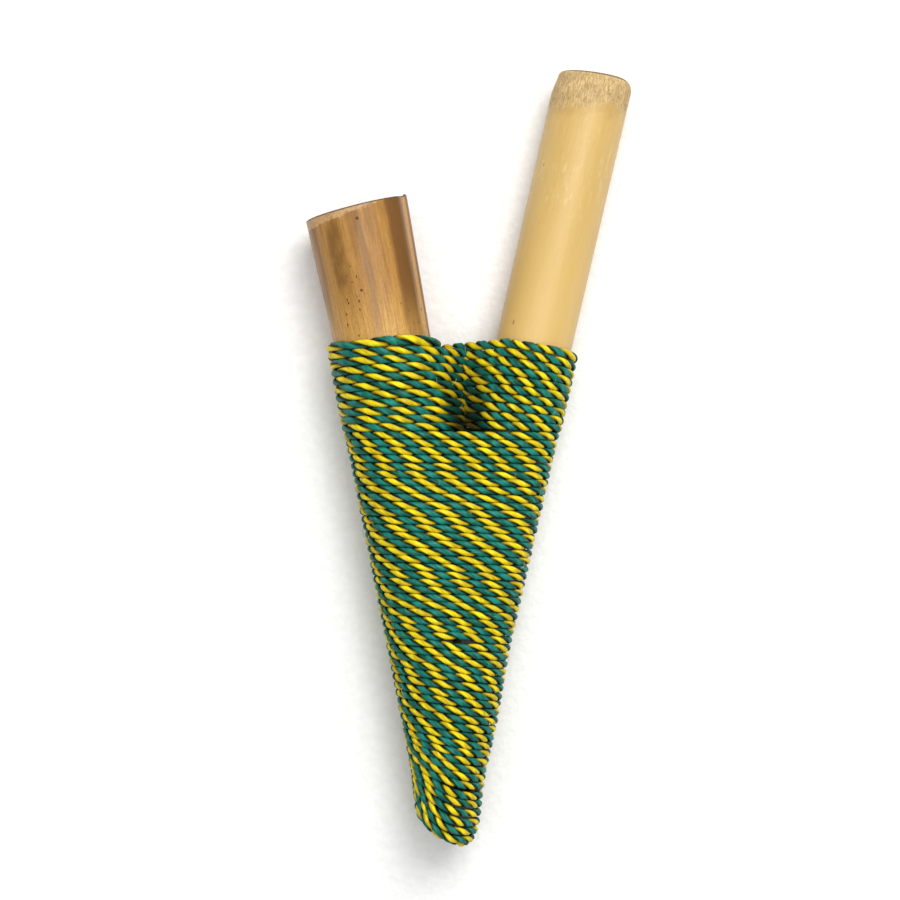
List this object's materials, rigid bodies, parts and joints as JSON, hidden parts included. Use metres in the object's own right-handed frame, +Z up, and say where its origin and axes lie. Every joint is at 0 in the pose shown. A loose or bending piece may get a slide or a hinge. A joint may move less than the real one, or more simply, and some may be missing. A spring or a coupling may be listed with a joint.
{
  "type": "v-shaped bamboo blow pipe",
  "caption": "Bamboo blow pipe: two tubes mitred into a V, sealed with wax and bound from fork to tip with a twisted two-colour waxed cord.",
  "frame": {"origin": "on the table under the middle of the pipe's box", "axes": "+Y from the closed tip to the two open mouths, +X to the thinner right arm's side, +Z up, out of the plane of the V"},
  "size_m": [0.0422, 0.1002, 0.0146],
  "materials": {
    "brown_bamboo": "honey-brown bamboo with darker streaks, satin",
    "pale_bamboo": "pale straw bamboo with fine grain, satin",
    "wax": "dark brown wax and resin, soft gloss",
    "cord": "waxed two-strand cord, golden yellow and teal green"
  },
  "bodies": {
    "root": {"left_arm": "brown_bamboo", "right_arm": "pale_bamboo", "crotch_wax": "wax", "tip_wax": "wax", "upper_lashing": "cord", "body_binding": "cord", "tip_binding": "cord"}
  },
  "joints": []
}
